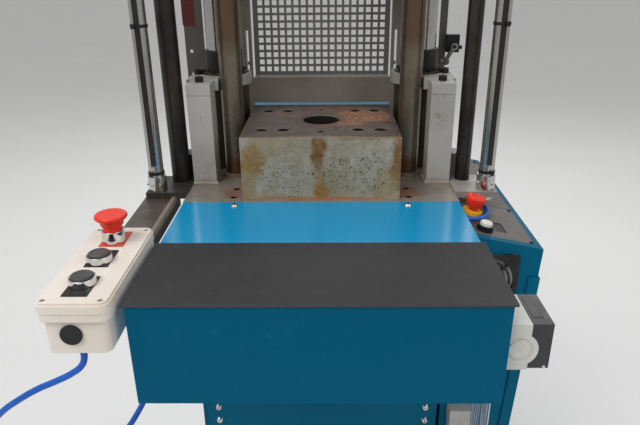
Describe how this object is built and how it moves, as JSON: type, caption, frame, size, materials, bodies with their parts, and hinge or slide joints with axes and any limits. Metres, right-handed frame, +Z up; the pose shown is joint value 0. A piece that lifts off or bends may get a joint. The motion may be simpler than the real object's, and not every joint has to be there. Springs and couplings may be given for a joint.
{
  "type": "vertical injection moulding machine",
  "caption": "Small vertical injection moulding press with tie bars, mould block, pull-down cylinders, light curtain tubes, hand control box and sloped console.",
  "frame": {"origin": "on the floor under the clamp axis, midway between the tie bars", "axes": "+X to the right as the operator sees it, +Y to the back, +Z up"},
  "size_m": [0.746, 0.885, 2.34],
  "materials": {
    "teal_paint": "glossy",
    "cream_plastic": "satin",
    "rusty_steel": "machined, rust stained",
    "ground_steel": "ground",
    "chrome": "polished",
    "grey_paint": "satin",
    "black_paint": "matt",
    "black_plastic": "matt",
    "rubber_mat": "ribbed",
    "red_plastic": "glossy",
    "white_plastic": "glossy",
    "grey_plastic": "satin",
    "blue_cable": "satin",
    "brass": "satin"
  },
  "bodies": {
    "frame": {"base_cabinet": "teal_paint", "lower_front_cover": "teal_paint", "cover_screws": "ground_steel", "levelling_feet": "black_paint", "pump_motor": "grey_paint", "lower_platen": "rusty_steel", "mould_block": "rusty_steel", "tie_bars": "rusty_steel", "tie_bar_nuts": "black_paint", "top_cover": "teal_paint", "rubber_mat": "rubber_mat", "cylinder_barrels": "ground_steel", "cylinder_heads": "black_paint", "support_posts": "grey_paint", "clamp_plates": "grey_paint", "clamp_bolts": "black_paint", "rear_guard_frame": "grey_paint", "perforated_guard": "ground_steel", "rear_cover": "teal_paint", "guide_bars": "black_paint", "side_arms": "grey_paint", "curtain_tubes": "chrome", "tube_fittings": "chrome", "switch_rails": "grey_paint", "limit_switch": "black_plastic", "control_arm": "black_paint", "control_box_base": "cream_plastic", "control_box_lid": "cream_plastic", "button_collars": "chrome", "legend_plates": "black_plastic", "box_plugs": "black_plastic", "side_box_base": "grey_plastic", "side_box_cover": "black_plastic", "console_cabinet": "teal_paint", "console_panel": "black_paint", "fan_grille": "black_plastic", "console_connector": "grey_plastic", "curtain_cables": "blue_cable", "box_cable": "blue_cable"},
    "platen": {"upper_platen": "ground_steel", "cylinder_rods": "chrome", "carriage_rods": "chrome"},
    "carriage": {"injection_housing": "teal_paint", "barrel": "ground_steel", "heater_bands": "brass", "hopper": "ground_steel"},
    "hopper_lid": {"hopper_lid": "teal_paint"},
    "drive": {"drive_head": "black_paint"},
    "screw": {"screw": "ground_steel"},
    "button_front": {"start_button_front": "black_plastic"},
    "button_rear": {"start_button_rear": "black_plastic"},
    "stop": {"stop_head": "red_plastic"},
    "console_stop": {"console_stop": "red_plastic"},
    "console_button": {"console_button": "white_plastic"},
    "console_door": {"console_door": "teal_paint"},
    "fan": {"fan_rotor": "black_plastic"},
    "base_door": {"base_door": "teal_paint"},
    "lever": {"switch_lever": "ground_steel"},
    "main_switch": {"main_switch": "red_plastic"}
  },
  "joints": [
    {"name": "clamp_slide", "type": "slide", "parent": "frame", "child": "platen", "axis": [0, 0, -1], "range_m": [0, 0.24]},
    {"name": "carriage_slide", "type": "slide", "parent": "platen", "child": "carriage", "axis": [0, 0, 1], "range_m": [0, 0.08]},
    {"name": "inject_slide", "type": "slide", "parent": "carriage", "child": "drive", "axis": [0, 0, 1], "range_m": [0, 0.09]},
    {"name": "screw_spin", "type": "hinge", "parent": "drive", "child": "screw", "pos_m": [0, -0.018, 1.8], "axis": [0, 0, 1], "continuous": true},
    {"name": "hopper_lid_hinge", "type": "hinge", "parent": "carriage", "child": "hopper_lid", "pos_m": [0, 0.213, 2.22], "axis": [-1, 0, 0], "range_deg": [0, 100]},
    {"name": "front_button_push", "type": "slide", "parent": "frame", "child": "button_front", "axis": [0, 0, -1], "range_m": [0, 0.004], "stiffness_N_per_m": 400, "springref_m": -0.001},
    {"name": "rear_button_push", "type": "slide", "parent": "frame", "child": "button_rear", "axis": [0, 0, -1], "range_m": [0, 0.004], "stiffness_N_per_m": 400, "springref_m": -0.001},
    {"name": "stop_push", "type": "slide", "parent": "frame", "child": "stop", "axis": [0, 0, -1], "range_m": [0, 0.005]},
    {"name": "console_stop_push", "type": "slide", "parent": "frame", "child": "console_stop", "axis": [-0.2062, 0, -0.9785], "range_m": [0, 0.004]},
    {"name": "console_button_push", "type": "slide", "parent": "frame", "child": "console_button", "axis": [-0.2062, 0, -0.9785], "range_m": [0, 0.004], "stiffness_N_per_m": 300, "springref_m": -0.001},
    {"name": "console_door_hinge", "type": "hinge", "parent": "frame", "child": "console_door", "pos_m": [0.30362, 0.1774, 0.67017], "axis": [0.0523, 0, 0.9986], "range_deg": [0, 100]},
    {"name": "fan_spin", "type": "hinge", "parent": "frame", "child": "fan", "pos_m": [0.239, -0.191, 0.91], "axis": [0, 1, 0], "continuous": true},
    {"name": "base_door_hinge", "type": "hinge", "parent": "frame", "child": "base_door", "pos_m": [-0.2163, 0.386, 0.49], "axis": [0, 0, -1], "range_deg": [0, 110]},
    {"name": "lever_swing", "type": "hinge", "parent": "frame", "child": "lever", "pos_m": [0.228, 0.0845, 1.198], "axis": [0, -1, 0], "range_deg": [0, 25], "stiffness_Nm_per_rad": 0.2, "springref_deg": -20.05},
    {"name": "main_switch_turn", "type": "hinge", "parent": "frame", "child": "main_switch", "pos_m": [0.264, 0.198, 0.84], "axis": [0, 1, 0], "range_deg": [0, 90]}
  ]
}
